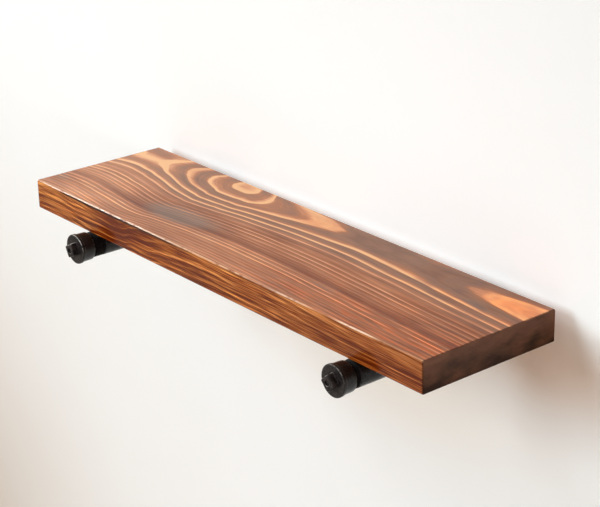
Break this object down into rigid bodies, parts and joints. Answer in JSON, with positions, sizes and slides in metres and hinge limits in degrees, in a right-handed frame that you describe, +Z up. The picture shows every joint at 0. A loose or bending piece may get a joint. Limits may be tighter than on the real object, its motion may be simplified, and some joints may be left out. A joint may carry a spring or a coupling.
{
  "type": "wall shelf",
  "caption": "Thick wooden wall shelf board carried on black iron pipe arms with square-headed end caps and round wall flanges.",
  "frame": {"origin": "on the wall plane, midway between the two pipe arms at the height of their axes", "axes": "+X to the right seen from the room, +Y into the wall, +Z up"},
  "size_m": [0.6, 0.2012, 0.08],
  "materials": {
    "board_wood": "scorched and stained softwood under a glossy clear coat",
    "pipe_iron": "satin black iron pipe",
    "cast_iron": "black malleable iron casting",
    "strap_steel": "black coated pressed steel",
    "screw_steel": "dark zinc-plated steel"
  },
  "bodies": {
    "root": {"left_end_cap": "cast_iron", "left_front_strap": "strap_steel", "left_front_strap_inner_screw": "screw_steel", "left_front_strap_outer_screw": "screw_steel", "left_pipe_arm": "pipe_iron", "left_rear_strap": "strap_steel", "left_rear_strap_inner_screw": "screw_steel", "left_rear_strap_outer_screw": "screw_steel", "left_wall_flange": "cast_iron", "right_end_cap": "cast_iron", "right_front_strap": "strap_steel", "right_front_strap_inner_screw": "screw_steel", "right_front_strap_outer_screw": "screw_steel", "right_pipe_arm": "pipe_iron", "right_rear_strap": "strap_steel", "right_rear_strap_inner_screw": "screw_steel", "right_rear_strap_outer_screw": "screw_steel", "right_wall_flange": "cast_iron", "shelf_board": "board_wood"}
  },
  "joints": []
}
